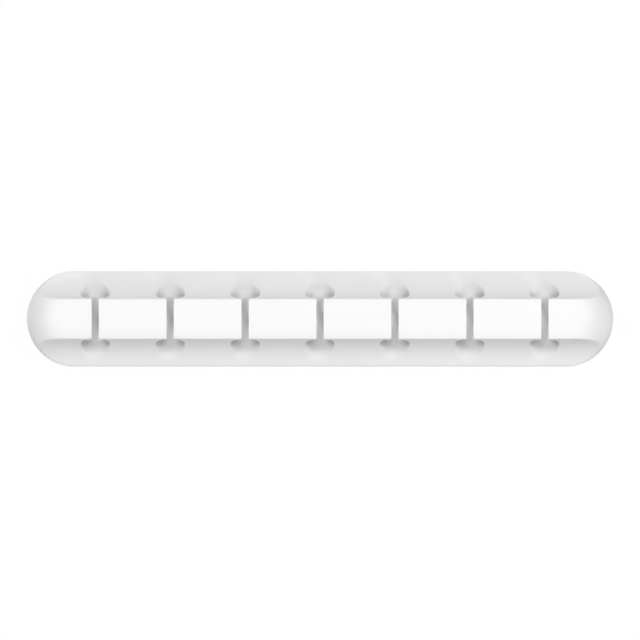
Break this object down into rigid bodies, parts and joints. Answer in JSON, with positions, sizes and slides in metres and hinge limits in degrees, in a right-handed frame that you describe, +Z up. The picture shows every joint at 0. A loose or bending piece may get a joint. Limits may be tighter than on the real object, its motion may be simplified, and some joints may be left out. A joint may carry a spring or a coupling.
{
  "type": "cable clip strip",
  "caption": "Soft white self-adhesive strip with a flat top, hollow flanks, rounded tips and a row of keyhole slots that hold cables side by side on a desk.",
  "frame": {"origin": "bottom centre of the adhesive tape, on the surface that the strip is stuck to", "axes": "+X along the strip, +Y across it along the cable channels, +Z up out of the flat top"},
  "size_m": [0.1666, 0.027, 0.0123],
  "materials": {
    "silicone": "matt white silicone with a fine moulded grain",
    "tape": "pale double-sided foam tape, slightly glossy adhesive face"
  },
  "bodies": {
    "root": {"clip_body": "silicone", "adhesive_pad": "tape"}
  },
  "joints": []
}
